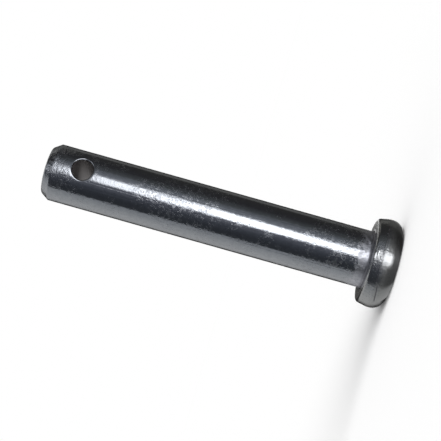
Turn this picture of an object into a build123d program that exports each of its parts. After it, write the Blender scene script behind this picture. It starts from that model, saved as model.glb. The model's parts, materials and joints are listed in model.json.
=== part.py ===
"""Clevis pin: one piece of bar, headed at one end, pointed and cross-drilled at the other.

The plain round shank carries a thick button head. The other end has a tapered point, and
the cross hole behind it takes a cotter or a hairpin clip. The pin stands on the flat outer
face of its head: the origin is the centre of that face, +Z runs along the shank to the
point, and the cross hole runs along Y. All sizes are in millimetres.
"""

from build123d import *
import os

# Shank: its length runs from the head's bearing face to the end face of the point
shank_diameter = 14.0
shank_length = 80.0
throat_fillet = 0.6

# Head: upset between two die halves, which meet in a faint crease round its widest
# circle. The rim tapers away from that crease on both sides
head_diameter = 22.0
head_height = 6.5
crease_height = 3.45
outer_rim_taper = 5.5  # degrees
inner_rim_taper = 12.5  # degrees
outer_face_rounding = 2.9
bearing_face_rounding = 0.75

# Point: a turned taper whose two edges are rolled off
point_length = 1.9
point_depth = 1.3
point_shank_rounding = 0.8
point_end_rounding = 0.6

# Cross hole: its distance runs from the end face to the hole's axis
hole_diameter = 5.2
hole_end_distance = 8.9
hole_mouth_rounding = 0.3

shank_radius = shank_diameter / 2
end_height = head_height + shank_length
inner_rim_height = head_height - crease_height
hole_height = end_height - hole_end_distance

with BuildPart() as clevis_pin:
    # One half section, turned about Z, makes the head, the shank and the point
    with BuildSketch(Plane.XZ) as half_section:
        with BuildLine():
            crease = (head_diameter / 2, crease_height)
            outer_rim = PolarLine(
                crease, crease_height, -90 - outer_rim_taper, length_mode=LengthMode.VERTICAL
            )
            inner_rim = PolarLine(
                crease, inner_rim_height, 90 + inner_rim_taper, length_mode=LengthMode.VERTICAL
            )
            bearing_face = Line(inner_rim @ 1, (shank_radius, head_height))
            shank = Line(bearing_face @ 1, (shank_radius, end_height - point_length))
            point = Line(shank @ 1, (shank_radius - point_depth, end_height))
            Polyline(point @ 1, (0, end_height), (0, 0), outer_rim @ 1)
        make_face()
        for corner, radius in (
            (outer_rim @ 1, outer_face_rounding),
            (inner_rim @ 1, bearing_face_rounding),
            (bearing_face @ 1, throat_fillet),
            (shank @ 1, point_shank_rounding),
            (point @ 1, point_end_rounding),
        ):
            fillet(half_section.vertices().sort_by_distance(corner)[0], radius)
    revolve(axis=Axis.Z)

    # The cross hole goes right through the shank and opens in two saddle-shaped mouths,
    # whose edges are rolled off all round so that they don't cut the clip
    with Locations(Location((0, 0, hole_height), (90, 0, 0))):
        Hole(hole_diameter / 2)
    mouths = clevis_pin.edges(Select.LAST).filter_by(GeomType.LINE, reverse=True)
    fillet(mouths, hole_mouth_rounding)

clevis_pin.part.label = "clevis_pin"
os.makedirs("parts", exist_ok=True)
export_step(clevis_pin.part, "parts/clevis_pin.step")
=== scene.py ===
"""Looks for the clevis pin: a zinc-plated steel pin standing on its head on a pale floor.

Everything is in metres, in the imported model's own frame: +Z runs from the head to the
point, and the cross hole runs along Y. The scene's own pin repeats the sizes of part.py
on a finer mesh, which carries what forging and tumbling leave on a real one.

The metal shows the light tent alone. The lamp and the world light the floor, and the tent
keeps the metal from showing either.
"""

import json
import math

import bmesh
import bpy
from mathutils import Matrix, Vector, noise

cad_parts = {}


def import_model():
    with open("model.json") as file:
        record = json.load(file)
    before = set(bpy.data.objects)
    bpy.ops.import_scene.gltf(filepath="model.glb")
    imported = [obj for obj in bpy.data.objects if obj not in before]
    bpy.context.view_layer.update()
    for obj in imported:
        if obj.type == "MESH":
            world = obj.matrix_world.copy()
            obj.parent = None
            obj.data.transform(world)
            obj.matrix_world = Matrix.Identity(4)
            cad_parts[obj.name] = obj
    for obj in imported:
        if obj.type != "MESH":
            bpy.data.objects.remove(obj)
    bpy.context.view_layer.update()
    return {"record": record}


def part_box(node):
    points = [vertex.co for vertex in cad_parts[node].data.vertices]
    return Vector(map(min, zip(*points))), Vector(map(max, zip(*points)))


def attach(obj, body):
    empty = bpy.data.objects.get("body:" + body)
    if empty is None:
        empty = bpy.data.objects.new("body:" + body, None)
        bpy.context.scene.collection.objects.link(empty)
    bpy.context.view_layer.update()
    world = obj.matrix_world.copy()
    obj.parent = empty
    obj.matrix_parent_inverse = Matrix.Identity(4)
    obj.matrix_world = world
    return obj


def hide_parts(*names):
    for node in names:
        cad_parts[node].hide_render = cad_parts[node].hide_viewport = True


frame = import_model()

MM = 0.001
MOUNTS = {mount["name"]: mount for mount in frame["record"]["mounts"]}
PIN_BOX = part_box("clevis_pin")

# The pin's sizes, in millimetres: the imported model's where it states them, else part.py's
PIN_TOP = round(PIN_BOX[1].z / MM, 3)
HEAD_RADIUS = round(PIN_BOX[1].x / MM, 2)
HEAD_HEIGHT = MOUNTS["bearing_face"]["pos_m"][2] / MM
SHANK_RADIUS = MOUNTS["shank"]["dims"]["r_mm"]
HOLE_RADIUS = MOUNTS["cross_hole"]["dims"]["r_mm"]
HOLE_HEIGHT = MOUNTS["cross_hole"]["pos_m"][2] / MM
CREASE_HEIGHT = 3.45
OUTER_RIM_TAPER = math.radians(5.5)
INNER_RIM_TAPER = math.radians(12.5)
OUTER_FACE_ROUNDING = 2.9
BEARING_FACE_ROUNDING = 0.75
CREASE_ROUNDING = 4.8
THROAT_FILLET = 0.6
POINT_LENGTH = 1.9
POINT_DEPTH = 1.3
POINT_SHANK_ROUNDING = 0.4
POINT_END_ROUNDING = 0.6
HOLE_MOUTH_ROUNDING = 0.3

# What heading left on the head's side, in millimetres and degrees. Azimuth runs from the -Y
# side towards +X. The lap is a fold in the crease: its ends, its height at azimuth 0, its
# rise by degree, and the azimuth before which it runs level
LAP_AZIMUTHS = (-74, -52)
LAP_HEIGHT = 4.65
LAP_RISE = 0.022
LAP_LEVEL_BEFORE = -80

# Rolled lips: first and last azimuth, height up the head, how far it stands out, width
LIPS = [(-8, -3, 5.50, 0.045, 0.17), (-17, -10, 6.22, 0.080, 0.20)]

# Dents: azimuth, height up the head, depth, size. The first is a nick in the rim
DENTS = [
    (-80, 0.3, 0.30, 0.8),
    (-43, 4.4, 0.05, 0.22),
    (-40, 4.0, 0.03, 0.2),
    (-47, 4.1, 0.04, 0.2),
    (-29, 5.4, 0.03, 0.3),
]

# The mesh: columns round the pin, half the width of the square round each hole mouth in
# columns, and the rings of each mouth's patch, of its rolled edge and of the bore
SIDES = 176
MOUTH_HALF = 17
PATCH_RINGS = 6
EDGE_RINGS = 5
BORE_RINGS = 28

# Camera: azimuth 0 looks along +Y, and a positive azimuth moves the camera towards +X
CAMERA_AZIMUTH = math.radians(-21.2)
CAMERA_ELEVATION = math.radians(-0.9)
CAMERA_ROLL = math.radians(74.3)
CAMERA_DISTANCE = 272 * MM
CAMERA_AIM = Vector((-0.4, 0.2, 43.0)) * MM
CAMERA_LENS = 91.8


# ---------------------------------------------------------------- the pin's mesh
def rounded_section(corners):
    """The rows of a half section, as (radius, height).

    Each corner is (radius, height, rounding, rows in it, rows from it to the next corner).
    """
    spots = [Vector(corner[:2]) for corner in corners]
    rows = []
    for index, (spot, (_, _, rounding, arc_rows, _)) in enumerate(zip(spots, corners)):
        if rounding:
            before = (spots[index - 1] - spot).normalized()
            after = (spots[index + 1] - spot).normalized()
            half = before.angle(after) / 2
            centre = spot + (before + after).normalized() * rounding / math.sin(half)
            reach = rounding / math.tan(half)
            start = spot + before * reach - centre
            swing = start.angle_signed(spot + after * reach - centre)
            arc = [
                centre + Matrix.Rotation(-swing * step / arc_rows, 2) @ start
                for step in range(arc_rows + 1)
            ]
        else:
            arc = [spot]
        if rows:
            steps = corners[index - 1][4]
            last = rows[-1]
            rows += [last.lerp(arc[0], step / steps) for step in range(1, steps)]
        rows += arc
    return rows


def pin_section():
    """The pin's half section from the head's outer face to the end of the point."""
    outer_rim = HEAD_RADIUS - CREASE_HEIGHT * math.tan(OUTER_RIM_TAPER)
    inner_rim = HEAD_RADIUS - (HEAD_HEIGHT - CREASE_HEIGHT) * math.tan(INNER_RIM_TAPER)
    mouth = MOUTH_HALF * math.tau * SHANK_RADIUS / SIDES
    return rounded_section(
        [
            (0, 0, 0, 0, 9),
            (outer_rim, 0, OUTER_FACE_ROUNDING, 20, 2),
            (HEAD_RADIUS, CREASE_HEIGHT, CREASE_ROUNDING, 22, 24),
            (inner_rim, HEAD_HEIGHT, BEARING_FACE_ROUNDING, 12, 10),
            (SHANK_RADIUS, HEAD_HEIGHT, THROAT_FILLET, 6, 140),
            (SHANK_RADIUS, HOLE_HEIGHT - mouth, 0, 0, 2 * MOUTH_HALF),
            (SHANK_RADIUS, HOLE_HEIGHT + mouth, 0, 0, 8),
            (SHANK_RADIUS, PIN_TOP - POINT_LENGTH, POINT_SHANK_ROUNDING, 4, 8),
            (SHANK_RADIUS - POINT_DEPTH, PIN_TOP, POINT_END_ROUNDING, 7, 8),
            (0, PIN_TOP, 0, 0, 0),
        ]
    )


def mouth_square():
    """The (column, row) steps from a mouth's centre to each point of the square round it, in order."""
    half = MOUTH_HALF
    return (
        [(half, step) for step in range(-half, half)]
        + [(-step, half) for step in range(-half, half)]
        + [(-half, -step) for step in range(-half, half)]
        + [(step, -half) for step in range(-half, half)]
    )


def mouth_rings(face):
    """The rings from a mouth's square inwards, over its rolled edge: face is 1 at +Y and -1 at -Y.

    The rolled edge is the one that a ball leaves which touches both the shank and the bore.
    """
    spacing = math.tau * SHANK_RADIUS / SIDES
    ball = HOLE_MOUTH_ROUNDING
    rings = [[] for _ in range(PATCH_RINGS + EDGE_RINGS)]
    for column, row in mouth_square():
        turn = math.atan2(row, column)
        across = (HOLE_RADIUS + ball) * math.cos(turn)
        along = (HOLE_RADIUS + ball) * math.sin(turn)
        out = math.sqrt((SHANK_RADIUS - ball) ** 2 - across**2)
        rim = Vector((SHANK_RADIUS * math.atan2(across, out), along))
        for ring in range(PATCH_RINGS):
            share = (ring + 1) / PATCH_RINGS
            place = (Vector((column, row)) * spacing).lerp(rim, share)
            angle = place.x / SHANK_RADIUS
            rings[ring].append(
                Vector(
                    (
                        SHANK_RADIUS * math.sin(angle),
                        face * SHANK_RADIUS * math.cos(angle),
                        HOLE_HEIGHT + place.y,
                    )
                )
            )
        centre = Vector((across, face * out, HOLE_HEIGHT + along))
        from_shank = Vector((across, face * out, 0)).normalized()
        from_bore = Vector((-math.cos(turn), 0, -math.sin(turn)))
        for ring in range(EDGE_RINGS):
            share = (ring + 1) / EDGE_RINGS
            rings[PATCH_RINGS + ring].append(centre + from_shank.slerp(from_bore, share) * ball)
    return rings


def pin_mesh():
    """The pin as one closed mesh of quads, in millimetres, with the cross hole through it."""
    section = pin_section()
    points, faces = [], []

    def put(spots):
        points.extend(spots)
        return range(len(points) - len(spots), len(points))

    def turned(radius, height, side):
        angle = math.tau * side / SIDES
        return Vector((radius * math.cos(angle), radius * math.sin(angle), height))

    # The hole's middle row, and each mouth by its face, 1 at +Y and -1 at -Y: its middle
    # column, and which way the columns count as x grows
    middle = min(range(len(section)), key=lambda row: abs(section[row].y - HOLE_HEIGHT))
    quarter = SIDES // 4
    mouths = {1: (quarter, -1), -1: (3 * quarter, 1)}

    def steps_from_mouth(row, side, centre):
        return side - centre, row - middle

    grid = {}
    for row, (radius, height) in enumerate(section[1:-1], 1):
        for side in range(SIDES):
            inside = any(
                max(map(abs, steps_from_mouth(row, side, centre))) < MOUTH_HALF
                for centre, _ in mouths.values()
            )
            if not inside:
                grid[row, side] = put([turned(radius, height, side)])[0]
    for row in range(1, len(section) - 2):
        for side in range(SIDES):
            after = (side + 1) % SIDES
            covered = any(
                -MOUTH_HALF <= across < MOUTH_HALF and -MOUTH_HALF <= along < MOUTH_HALF
                for across, along in (
                    steps_from_mouth(row, side, centre) for centre, _ in mouths.values()
                )
            )
            if not covered:
                faces.append(
                    (grid[row, side], grid[row, after], grid[row + 1, after], grid[row + 1, side])
                )
    for pole, row in ((section[0], 1), (section[-1], len(section) - 2)):
        tip = put([Vector((0, 0, pole.y))])[0]
        faces += [(tip, grid[row, side], grid[row, (side + 1) % SIDES]) for side in range(SIDES)]

    # The tunnel: the square round one mouth, its rings, the bore, and the same again back
    squares, rims = {}, {}
    for face, (centre, direction) in mouths.items():
        squares[face] = [
            grid[middle + along, centre + direction * across] for across, along in mouth_square()
        ]
        rims[face] = mouth_rings(face)
    bore = [
        [
            first.lerp(last, step / BORE_RINGS)
            for first, last in zip(rims[1][-1], rims[-1][-1])
        ]
        for step in range(1, BORE_RINGS)
    ]
    tunnel = [squares[1]] + [put(ring) for ring in rims[1] + bore + rims[-1][::-1]] + [squares[-1]]
    for ring, onward in zip(tunnel, tunnel[1:]):
        count = len(ring)
        faces += [
            (ring[step], ring[(step + 1) % count], onward[(step + 1) % count], onward[step])
            for step in range(count)
        ]
    return points, faces


def wander(spot, scale, seed):
    """Smooth noise from -1 to 1 over distances of about 1 / scale millimetres."""
    return noise.noise(spot * scale + Vector((seed, 0, 0)))


def bump_between(value, low, high, soft):
    """1 between low and high, and 0 a soft width outside them."""
    inside = min(value - low, high - value) / soft + 1
    inside = min(max(inside, 0), 1)
    return inside * inside * (3 - 2 * inside)


def hump(distance, width):
    """A rounded bump's height, 1 in the middle, at a distance from it."""
    return math.exp(-((distance / width) ** 2))


def head_marks(spot):
    """How far the head's side stands out at a point: the lap, the rolled lips and the dents.

    The crease has a fainter lap in places outside LAP_AZIMUTHS.
    """
    azimuth = math.degrees(math.atan2(spot.x, -spot.y))
    lap = 0.03 * max(wander(Vector((spot.x, spot.y, 0)), 0.12, 37) + 0.25, 0)
    lap += 0.10 * bump_between(azimuth, *LAP_AZIMUTHS, 6)
    lap_height = LAP_HEIGHT + LAP_RISE * max(azimuth, LAP_LEVEL_BEFORE)
    height = -lap * hump(spot.z - lap_height, 0.13)
    for first, last, above, rise, width in LIPS:
        height += rise * bump_between(azimuth, first, last, 4) * hump(spot.z - above, width)
    for at, above, depth, size in DENTS:
        along = math.radians(azimuth - at) * HEAD_RADIUS
        height -= depth * hump(math.hypot(along, spot.z - above), size)
    return height


def relief(spot):
    """How far the real surface stands from the nominal one at a point, in millimetres."""
    radius = math.hypot(spot.x, spot.y)
    on_head = bump_between(spot.z, 0.4, HEAD_HEIGHT - 0.3, 0.4)
    on_shank = bump_between(spot.z, HEAD_HEIGHT + 1, PIN_TOP - POINT_LENGTH - 1, 1.0)
    on_point = bump_between(spot.z, PIN_TOP - POINT_LENGTH - 0.6, PIN_TOP - 0.3, 0.4)
    outside = bump_between(radius, SHANK_RADIUS - POINT_DEPTH - 0.5, HEAD_RADIUS + 1, 0.5)
    drawn = Vector((spot.x, spot.y, spot.z * 0.06))
    height = on_shank * (0.0050 * wander(drawn, 0.55, 3) + 0.0030 * wander(spot, 0.6, 7))
    height += on_head * (0.030 * wander(spot, 0.33, 11) + 0.012 * wander(spot, 0.9, 17))
    if spot.z < HEAD_HEIGHT and radius > HEAD_RADIUS - 3:
        height += head_marks(spot)
    height += on_point * 0.012 * wander(spot, 1.2, 23)
    return height * outside


def pin():
    """The visible pin: the fine mesh with its relief, in place of the CAD node."""
    points, faces = pin_mesh()
    mesh = bpy.data.meshes.new("pin")
    mesh.from_pydata(points, [], faces)
    shape = bmesh.new()
    shape.from_mesh(mesh)
    bmesh.ops.recalc_face_normals(shape, faces=shape.faces)
    shape.normal_update()
    moves = [vertex.normal * relief(vertex.co) for vertex in shape.verts]
    for vertex, move in zip(shape.verts, moves):
        vertex.co = (vertex.co + move) * MM
    shape.to_mesh(mesh)
    shape.free()
    mesh.shade_smooth()
    mesh.materials.append(zinc_plate())
    piece = bpy.data.objects.new("pin", mesh)
    bpy.context.scene.collection.objects.link(piece)
    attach(piece, "root")
    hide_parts("clevis_pin")


# ---------------------------------------------------------------- node helpers
def new_material(name):
    """An empty node material, with its node tree and its Principled shader."""
    material = bpy.data.materials.new(name)
    material.use_nodes = True
    tree = material.node_tree
    return material, tree, tree.nodes["Principled BSDF"]


def add(tree, kind, **settings):
    """A node of this kind; a setting that names an input socket fills it, any other is an attribute."""
    node = tree.nodes.new(kind)
    for name, value in settings.items():
        if name in node.inputs:
            node.inputs[name].default_value = value
        else:
            setattr(node, name, value)
    return node


def fill(tree, socket, value):
    """Links another node's output to a socket, or sets the socket to a number."""
    if isinstance(value, bpy.types.NodeSocket):
        tree.links.new(value, socket)
    else:
        socket.default_value = value


def maths(tree, operation, *operands, clamp=False):
    """The output of one maths node. Its operands are numbers or other nodes' outputs."""
    node = add(tree, "ShaderNodeMath", operation=operation, use_clamp=clamp)
    for socket, value in zip(node.inputs, operands):
        fill(tree, socket, value)
    return node.outputs[0]


def step_up(tree, value, low, high):
    """Rises smoothly from 0 at low to 1 at high, or falls from 1 if high is the smaller."""
    node = add(tree, "ShaderNodeMapRange", interpolation_type="SMOOTHSTEP")
    falling = high < low
    for name, number in (
        ("From Min", min(low, high)),
        ("From Max", max(low, high)),
        ("To Min", float(falling)),
        ("To Max", float(not falling)),
    ):
        node.inputs[name].default_value = number
    tree.links.new(value, node.inputs["Value"])
    return node.outputs["Result"]


def product(tree, first, *others):
    """Several numbers or nodes' outputs multiplied together."""
    for other in others:
        first = maths(tree, "MULTIPLY", first, other)
    return first


def object_place(tree):
    """The shaded point in the object's own metres: the whole place, and its x, y and z."""
    place = add(tree, "ShaderNodeTexCoord").outputs["Object"]
    axes = add(tree, "ShaderNodeSeparateXYZ")
    tree.links.new(place, axes.inputs[0])
    return place, *axes.outputs


def from_axis(tree, first, second):
    """The distance from an axis, by the two coordinates across it."""
    squares = maths(tree, "MULTIPLY_ADD", first, first, maths(tree, "MULTIPLY", second, second))
    return maths(tree, "SQRT", squares)


def azimuth_at(tree, x, y):
    """The angle round the pin from the -Y side towards +X, in radians."""
    return maths(tree, "ARCTAN2", x, maths(tree, "MULTIPLY", y, -1))


def ramp(tree, factor, stops):
    """The colour output of a ramp through (position, colour) stops."""
    node = add(tree, "ShaderNodeValToRGB")
    elements = node.color_ramp.elements
    while len(elements) > 1:
        elements.remove(elements[-1])
    for index, (position, colour) in enumerate(stops):
        element = elements[0] if index == 0 else elements.new(position)
        element.position = position
        element.color = (*colour, 1.0)
    tree.links.new(factor, node.inputs[0])
    return node.outputs[0]


def mix_colour(tree, factor, first, second):
    """Two colours mixed by a factor; each is a colour or another node's output."""
    node = add(tree, "ShaderNodeMix", data_type="RGBA")
    fill(tree, node.inputs["Factor"], factor)
    for socket, value in ((node.inputs[6], first), (node.inputs[7], second)):
        fill(tree, socket, value if isinstance(value, bpy.types.NodeSocket) else (*value, 1.0))
    return node.outputs[2]


# ---------------------------------------------------------------- zinc plate
# Where the plate is duller and more pitted, by height in millimetres
WORN = [(8, 0.12), (16, 0.12), (24, 0), (42, 0.02), (47, 0.14), (60, 0.14), (66, 0.05), (80, 0.06)]


def zinc_plate():
    """Bright zinc over drawn and headed steel: mottled and pitted, with lengthwise draw lines."""
    material, tree, shader = new_material("zinc_plate")
    links = tree.links
    place, x, y, z = object_place(tree)

    def noise_at(scale, detail, stretch=(1, 1, 1)):
        mapping = add(tree, "ShaderNodeMapping", Scale=stretch)
        links.new(place, mapping.inputs["Vector"])
        node = add(tree, "ShaderNodeTexNoise", Scale=scale, Detail=detail)
        links.new(mapping.outputs[0], node.inputs["Vector"])
        return node.outputs["Fac"]

    grain = noise_at(1800, 2.5)
    flecks = noise_at(1350, 3.0)
    mottle = noise_at(900, 3.0)
    clouds = noise_at(170, 3.0)
    draw_lines = noise_at(2200, 2.0, (1, 1, 0.02))
    scores = noise_at(1500, 1.0, (1, 1, 0.015))

    # Where the surface differs, each as a share from 0 to 1: the bore, the head, the satin
    # band that heading leaves on the shank beside it, the throat, the lap, the head's taper
    # above the crease, the turned point, and all but the hole's mouths
    radius = from_axis(tree, x, y)
    from_bore = from_axis(tree, x, maths(tree, "SUBTRACT", z, HOLE_HEIGHT * MM))
    in_bore = product(
        tree,
        step_up(tree, from_bore, (HOLE_RADIUS + 0.12) * MM, (HOLE_RADIUS + 0.02) * MM),
        step_up(tree, radius, (SHANK_RADIUS - 0.15) * MM, (SHANK_RADIUS - 0.35) * MM),
    )
    ragged = maths(tree, "MULTIPLY_ADD", mottle, 6 * MM, maths(tree, "ADD", z, -3 * MM))
    near_head = step_up(tree, ragged, (HEAD_HEIGHT + 4.2) * MM, (HEAD_HEIGHT + 1.6) * MM)
    on_head = step_up(tree, radius, (SHANK_RADIUS + 0.25) * MM, (SHANK_RADIUS + 0.5) * MM)
    satin = maths(tree, "SUBTRACT", near_head, on_head, clamp=True)
    # The throat's share darkens the plate further down: painted shade where the shank meets the head
    throat = product(
        tree,
        step_up(tree, z, (HEAD_HEIGHT + 0.9) * MM, (HEAD_HEIGHT + 0.3) * MM),
        step_up(tree, radius, (SHANK_RADIUS + 1.3) * MM, (SHANK_RADIUS + 0.6) * MM),
    )
    azimuth = azimuth_at(tree, x, y)
    rise_by_radian = LAP_RISE * MM * math.degrees(1)
    lap_height = maths(tree, "MULTIPLY_ADD", azimuth, rise_by_radian, LAP_HEIGHT * MM)
    from_lap = maths(tree, "ABSOLUTE", maths(tree, "SUBTRACT", z, lap_height))
    low, high = [math.radians(angle) for angle in LAP_AZIMUTHS]
    lap = product(
        tree,
        step_up(tree, azimuth, low - 0.1, low),
        step_up(tree, azimuth, high + 0.1, high),
        step_up(tree, from_lap, 0.22 * MM, 0.06 * MM),
    )
    inner_face = product(
        tree,
        on_head,
        step_up(tree, z, (CREASE_HEIGHT + 0.5) * MM, (CREASE_HEIGHT + 1.1) * MM),
    )
    on_point = step_up(tree, z, (PIN_TOP - POINT_LENGTH - 6) * MM, (PIN_TOP - POINT_LENGTH) * MM)
    off_mouth = step_up(tree, from_bore, (HOLE_RADIUS + 0.3) * MM, (HOLE_RADIUS + 0.7) * MM)

    # Roughness: polished on the whole, hazier in patches, satin below the head, dull in the bore
    worn = ramp(
        tree,
        maths(tree, "DIVIDE", z, PIN_TOP * MM),
        [(height / PIN_TOP, (share,) * 3) for height, share in WORN],
    )
    patchy = product(
        tree, step_up(tree, maths(tree, "ADD", clouds, worn), 0.42, 0.66), off_mouth
    )
    fleck = product(tree, step_up(tree, flecks, 0.46, 0.58), patchy)
    fleck = maths(tree, "SUBTRACT", fleck, on_head, clamp=True)
    roughness = maths(tree, "MULTIPLY_ADD", mottle, 0.10, 0.03)
    for share, more in (
        (fleck, 0.23),
        (satin, 0.28),
        (on_head, 0.22),
        (inner_face, -0.11),
        (on_point, 0.08),
        (in_bore, 0.38),
    ):
        roughness = maths(tree, "MULTIPLY_ADD", share, more, roughness)
    links.new(roughness, shader.inputs["Roughness"])

    plate = ramp(tree, mottle, [(0.30, (0.64, 0.66, 0.68)), (0.70, (0.74, 0.76, 0.775))])
    plate = mix_colour(tree, satin, plate, (0.96, 0.96, 1.0))
    plate = mix_colour(tree, on_head, plate, (0.70, 0.705, 0.69))
    # The bore's plate is darker: painted shade in the hole
    plate = mix_colour(tree, in_bore, plate, (0.44, 0.42, 0.41))
    shader.inputs["Metallic"].default_value = 1.0

    # Relief: each layer adds its height, in metres
    pits = add(tree, "ShaderNodeTexVoronoi", Scale=1650, Randomness=1.0)
    links.new(place, pits.inputs["Vector"])
    pit = step_up(tree, pits.outputs["Distance"], 0.46, 0.05)
    likely = maths(tree, "MULTIPLY_ADD", patchy, 0.42, -0.4)
    likely = maths(tree, "MULTIPLY_ADD", on_point, 0.3, likely)
    chosen = step_up(tree, maths(tree, "ADD", pits.outputs["Color"], likely), 0.42, 0.52)
    pitted = product(tree, pit, chosen)
    height = product(tree, pitted, -0.015 * MM)
    grit = maths(tree, "MULTIPLY_ADD", patchy, 0.014 * MM, 0.010 * MM)
    for share, more in (
        (satin, 0.02 * MM),
        (on_head, 0.02 * MM),
        (inner_face, -0.012 * MM),
        (on_point, 0.04 * MM),
    ):
        grit = maths(tree, "MULTIPLY_ADD", share, more, grit)
    smear = maths(tree, "MULTIPLY_ADD", on_head, 0.040 * MM, 0.010 * MM)
    smear = maths(tree, "MULTIPLY_ADD", inner_face, -0.020 * MM, smear)
    for layer, depth in (
        (grain, grit),
        (mottle, smear),
        (draw_lines, 0.006 * MM),
        (step_up(tree, scores, 0.60, 0.70), -0.007 * MM),
    ):
        height = maths(tree, "MULTIPLY_ADD", layer, depth, height)
    bump = add(tree, "ShaderNodeBump", Strength=1.0, Distance=1.0)
    links.new(height, bump.inputs["Height"])
    links.new(off_mouth, bump.inputs["Strength"])
    links.new(bump.outputs[0], shader.inputs["Normal"])

    # Darker plate: dirt in the pits, painted shade in the throat where the shank meets the head, and
    # darker along the lap
    dirt_and_painted_shade = product(tree, pitted, 0.22)
    dirt_and_painted_shade = maths(tree, "MULTIPLY_ADD", throat, 0.5, dirt_and_painted_shade)
    dirt_and_painted_shade = maths(tree, "MULTIPLY_ADD", lap, 0.75, dirt_and_painted_shade, clamp=True)
    plate = mix_colour(tree, dirt_and_painted_shade, plate, (0.10, 0.10, 0.12))
    links.new(plate, shader.inputs["Base Color"])
    return material


# ---------------------------------------------------------------- camera
def camera():
    """The photograph's view: the pin slants across the frame, its point at the upper left."""
    back = Vector(
        (
            math.sin(CAMERA_AZIMUTH) * math.cos(CAMERA_ELEVATION),
            -math.cos(CAMERA_AZIMUTH) * math.cos(CAMERA_ELEVATION),
            math.sin(CAMERA_ELEVATION),
        )
    )
    level_right = Vector((0, 0, 1)).cross(back).normalized()
    level_up = back.cross(level_right)
    right = level_right * math.cos(CAMERA_ROLL) - level_up * math.sin(CAMERA_ROLL)
    up = level_up * math.cos(CAMERA_ROLL) + level_right * math.sin(CAMERA_ROLL)
    data = bpy.data.cameras.new("camera")
    data.lens = CAMERA_LENS
    data.clip_start = 10 * MM
    data.clip_end = 100.0
    view = bpy.data.objects.new("camera", data)
    turn = Matrix((right, up, back)).transposed().to_4x4()
    view.matrix_world = Matrix.Translation(CAMERA_AIM + back * CAMERA_DISTANCE) @ turn
    bpy.context.scene.collection.objects.link(view)
    bpy.context.scene.camera = view


# ---------------------------------------------------------------- studio
FLOOR_COLOUR = 1.0
WORLD_LEVEL = 0.55
SUN_HEIGHT = math.radians(50)
SUN_AZIMUTH = math.radians(35)

# The room that the metal reflects, as colours by the angle in degrees round the pin from
# the camera's side towards +X. Behind the pin is a dark wall with a narrow window in it,
# which gives the views from behind some light: its two ends are the same at every height
WALL_BEFORE = [(-180, (0.08, 0.08, 0.08)), (-174, (0.02, 0.02, 0.02)), (-154, (0.02, 0.02, 0.02))]
WALL_AFTER = [
    (169, (0.02, 0.02, 0.02)),
    (171, (0.95, 0.95, 0.95)),
    (177, (0.95, 0.95, 0.95)),
    (179, (0.12, 0.12, 0.12)),
    (180, (0.08, 0.08, 0.08)),
]

# At the pin's own height: the pale table, the dark room behind the camera, and the room beyond
ROOM = [
    (-146, (0.24, 0.24, 0.242)),
    (-136, (0.37, 0.37, 0.378)),
    (-110, (0.345, 0.35, 0.36)),
    (-84, (0.27, 0.28, 0.295)),
    (-66, (0.20, 0.21, 0.23)),
    (-63, (0.028, 0.031, 0.036)),
    (-40, (0.028, 0.031, 0.038)),
    (-20, (0.05, 0.055, 0.068)),
    (0, (0.12, 0.125, 0.15)),
    (30, (0.22, 0.23, 0.26)),
    (48, (0.13, 0.14, 0.16)),
    (62, (0.06, 0.065, 0.07)),
    (84, (0.025, 0.025, 0.028)),
    (124, (0.028, 0.028, 0.028)),
    (131, (0.11, 0.11, 0.108)),
    (145, (0.11, 0.11, 0.108)),
    (153, (0.02, 0.02, 0.02)),
]

# Above that, which the tapers reflect
ROOM_ABOVE = [
    (-146, (0.26, 0.26, 0.262)),
    (-136, (0.40, 0.40, 0.41)),
    (-84, (0.32, 0.325, 0.335)),
    (-66, (0.26, 0.265, 0.275)),
    (-62, (0.028, 0.028, 0.034)),
    (-20, (0.028, 0.03, 0.038)),
    (0, (0.06, 0.062, 0.07)),
    (30, (0.09, 0.092, 0.10)),
    (60, (0.035, 0.036, 0.038)),
    (88, (0.03, 0.03, 0.03)),
    (102, (0.15, 0.15, 0.147)),
    (148, (0.17, 0.17, 0.167)),
    (155, (0.02, 0.02, 0.02)),
]

# On the table, close round the head
ROOM_CLOSE = [
    (-146, (0.24, 0.24, 0.242)),
    (-136, (0.36, 0.36, 0.365)),
    (-84, (0.26, 0.265, 0.27)),
    (-66, (0.20, 0.205, 0.21)),
    (-58, (0.085, 0.088, 0.09)),
    (-30, (0.09, 0.093, 0.095)),
    (0, (0.12, 0.122, 0.125)),
    (30, (0.20, 0.205, 0.21)),
    (48, (0.13, 0.132, 0.135)),
    (62, (0.06, 0.061, 0.062)),
    (84, (0.035, 0.035, 0.035)),
    (124, (0.035, 0.035, 0.035)),
    (131, (0.12, 0.12, 0.12)),
    (145, (0.12, 0.12, 0.12)),
    (153, (0.02, 0.02, 0.02)),
]

# Where those rooms and the ceiling behind the pin are seen in the tent, each as the height,
# the distance from the axis or the angle where it starts and where it is full, in
# millimetres and degrees
ABOVE_FROM = (140, 230)
ABOVE_TO = (400, 300)
CEILING_FROM = (420, 480)
CEILING_ANGLES = (120, 150)
CEILING_COLOUR = (0.5, 0.5, 0.5)
CLOSE_WITHIN = (90, 45)

# The head shades the table round it by this much, but not on the table's bright side
HEAD_SHADE = 0.35
HEAD_SHADE_WITHIN = (21, 11)
HEAD_SHADE_ANGLES = (-72, -62)

# The window beside the camera: the angles its light starts, is full from, is full to and
# ends at, how far it leans by the height given, and its brightness by height. It ends at
# the head, which stands in its way. In millimetres and degrees
WINDOW = [-2, 8, 23, 34]
WINDOW_COLOUR = (0.97, 0.985, 1.03)
WINDOW_LEVEL = 3.0
WINDOW_LEAN = 3.5
WINDOW_LEAN_HEIGHT = 150
WINDOW_CLEAR_OF_HEAD = (11, 15)
WINDOW_FADE = [
    (0, 0.58),
    (45, 0.78),
    (68, 0.56),
    (95, 0.46),
    (122, 0.40),
    (148, 0.19),
    (175, 0.06),
    (210, 0.02),
    (420, 0.02),
    (520, 0.14),
    (700, 0.14),
]

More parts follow.
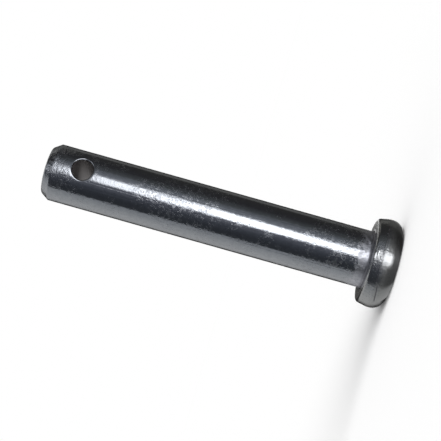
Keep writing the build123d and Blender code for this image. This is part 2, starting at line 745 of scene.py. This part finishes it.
# The tent that carries room and window stands this far from the pin. Its skirt comes in
# under the head's rounding, a hair above the floor
TENT_RADIUS = 450 * MM
TENT_TOP = 700 * MM
SKIRT_RADIUS = 8.3 * MM
SKIRT_HEIGHT = 0.05 * MM


def surface_of_revolution(name, profile, sides):
    """A mesh turned about Z from a list of (radius, height) points."""
    vertices = [
        (
            radius * math.cos(math.tau * side / sides),
            radius * math.sin(math.tau * side / sides),
            height,
        )
        for radius, height in profile
        for side in range(sides)
    ]
    faces = [
        (
            row * sides + side,
            row * sides + (side + 1) % sides,
            (row + 1) * sides + (side + 1) % sides,
            (row + 1) * sides + side,
        )
        for row in range(len(profile) - 1)
        for side in range(sides)
    ]
    mesh = bpy.data.meshes.new(name)
    mesh.from_pydata(vertices, [], faces)
    made = bpy.data.objects.new(name, mesh)
    bpy.context.scene.collection.objects.link(made)
    return made


def light_tent():
    """A bright and dark surround that only glossy rays see: the photograph's room and window.

    It hides the floor and the world from them. Its levels were set to bring the metal
    close to the brightness that the photograph's shows.
    """
    tent = surface_of_revolution(
        "light_tent",
        [
            (SKIRT_RADIUS, SKIRT_HEIGHT),
            (TENT_RADIUS, SKIRT_HEIGHT),
            (TENT_RADIUS, TENT_TOP * 0.6),
            (TENT_RADIUS * 0.5, TENT_TOP * 0.9),
            (0.5 * MM, TENT_TOP),
        ],
        180,
    )
    material, tree, shader = new_material("light_tent")
    tree.nodes.remove(shader)
    _, x, y, z = object_place(tree)
    radius = from_axis(tree, x, y)

    def over(value, span, unit=MM):
        """Rises from 0 to 1 over a span, which is in millimetres unless the unit says otherwise."""
        return step_up(tree, value, span[0] * unit, span[1] * unit)

    # The angle round the pin, opened out near it so that what the pin's round side
    # reflects from close by matches what it reflects from afar
    turn = maths(tree, "SUBTRACT", azimuth_at(tree, x, y), CAMERA_AZIMUTH)
    turn = maths(tree, "WRAP", turn, math.pi, -math.pi)
    near = maths(tree, "DIVIDE", -HEAD_RADIUS * MM / 2, radius)
    turn = maths(tree, "DIVIDE", turn, maths(tree, "ADD", near, 1))
    share = maths(tree, "MULTIPLY_ADD", turn, 1 / math.tau, 0.5)

    room, above, close = [
        ramp(
            tree,
            share,
            [((angle + 180) / 360, colour) for angle, colour in WALL_BEFORE + stops + WALL_AFTER],
        )
        for stops in (ROOM, ROOM_ABOVE, ROOM_CLOSE)
    ]
    upper = product(tree, over(z, ABOVE_FROM), over(z, ABOVE_TO))
    behind = over(maths(tree, "ABSOLUTE", turn), CEILING_ANGLES, math.radians(1))
    ceiling = product(tree, over(z, CEILING_FROM), behind)
    shaded = product(
        tree,
        over(radius, HEAD_SHADE_WITHIN),
        over(turn, HEAD_SHADE_ANGLES, math.radians(1)),
        HEAD_SHADE,
    )
    room = mix_colour(tree, upper, room, above)
    room = mix_colour(tree, ceiling, room, CEILING_COLOUR)
    room = mix_colour(tree, over(radius, CLOSE_WITHIN), room, close)
    room = mix_colour(tree, shaded, room, (0, 0, 0))

    starts, full_from, full_to, ends = [(angle + 180) / 360 for angle in WINDOW]
    lean = product(tree, over(z, (0, WINDOW_LEAN_HEIGHT)), -WINDOW_LEAN / 360)
    leaning = maths(tree, "ADD", share, lean)
    fade = ramp(
        tree,
        maths(tree, "DIVIDE", z, TENT_TOP),
        [(height * MM / TENT_TOP, (level,) * 3) for height, level in WINDOW_FADE],
    )
    brightness = product(
        tree,
        fade,
        step_up(tree, leaning, starts, full_from),
        step_up(tree, leaning, ends, full_to),
        over(radius, WINDOW_CLEAR_OF_HEAD),
        WINDOW_LEVEL,
    )
    window = add(tree, "ShaderNodeVectorMath", operation="SCALE")
    window.inputs[0].default_value = WINDOW_COLOUR
    tree.links.new(brightness, window.inputs["Scale"])
    total = add(tree, "ShaderNodeVectorMath", operation="ADD")
    tree.links.new(room, total.inputs[0])
    tree.links.new(window.outputs[0], total.inputs[1])
    glow = add(tree, "ShaderNodeEmission")
    tree.links.new(total.outputs[0], glow.inputs["Color"])
    tree.links.new(glow.outputs[0], tree.nodes["Material Output"].inputs["Surface"])
    tent.data.materials.append(material)
    tent.visible_camera = False
    tent.visible_diffuse = False
    tent.visible_shadow = False
    tent.visible_transmission = False


def floor():
    """A wide pale floor that meets the world's own white at the horizon."""
    half = 20.0
    mesh = bpy.data.meshes.new("floor")
    mesh.from_pydata(
        [(-half, -half, 0), (half, -half, 0), (half, half, 0), (-half, half, 0)], [], [(0, 1, 2, 3)]
    )
    made = bpy.data.objects.new("floor", mesh)
    bpy.context.scene.collection.objects.link(made)
    material, tree, shader = new_material("floor")
    shader.inputs["Base Color"].default_value = (FLOOR_COLOUR, FLOOR_COLOUR, FLOOR_COLOUR, 1)
    shader.inputs["Roughness"].default_value = 1.0
    shader.inputs["Specular IOR Level"].default_value = 0.0
    made.data.materials.append(material)


def world():
    """White to camera, glossy and transmission rays, and a gentler level as light.

    The tent stands between it and the pin, so the pin's glossy rays don't reach it.
    """
    made = bpy.data.worlds.new("studio")
    made.use_nodes = True
    tree = made.node_tree
    background = tree.nodes["Background"]
    background.inputs["Color"].default_value = (1, 1, 1, 1)
    rays = add(tree, "ShaderNodeLightPath").outputs
    seen = maths(tree, "MAXIMUM", rays["Is Camera Ray"], rays["Is Glossy Ray"])
    seen = maths(tree, "MAXIMUM", seen, rays["Is Transmission Ray"])
    level = maths(tree, "MULTIPLY_ADD", seen, FLOOR_COLOUR - WORLD_LEVEL, WORLD_LEVEL)
    tree.links.new(level, background.inputs["Strength"])
    bpy.context.scene.world = made


def sun():
    """One large soft lamp high on the window's side, for the floor: the metal doesn't show it.

    With the world it lights a level surface at 1.
    """
    data = bpy.data.lights.new("sun", "SUN")
    data.energy = math.pi * (1 - WORLD_LEVEL) / math.sin(SUN_HEIGHT)
    data.angle = math.radians(50)
    lamp = bpy.data.objects.new("sun", data)
    towards = Vector(
        (
            math.sin(SUN_AZIMUTH) * math.cos(SUN_HEIGHT),
            -math.cos(SUN_AZIMUTH) * math.cos(SUN_HEIGHT),
            math.sin(SUN_HEIGHT),
        )
    )
    lamp.rotation_euler = towards.to_track_quat("Z", "Y").to_euler()
    lamp.visible_glossy = False
    bpy.context.scene.collection.objects.link(lamp)


camera()
pin()
light_tent()
floor()
world()
sun()
bpy.context.scene.view_settings.view_transform = "Standard"
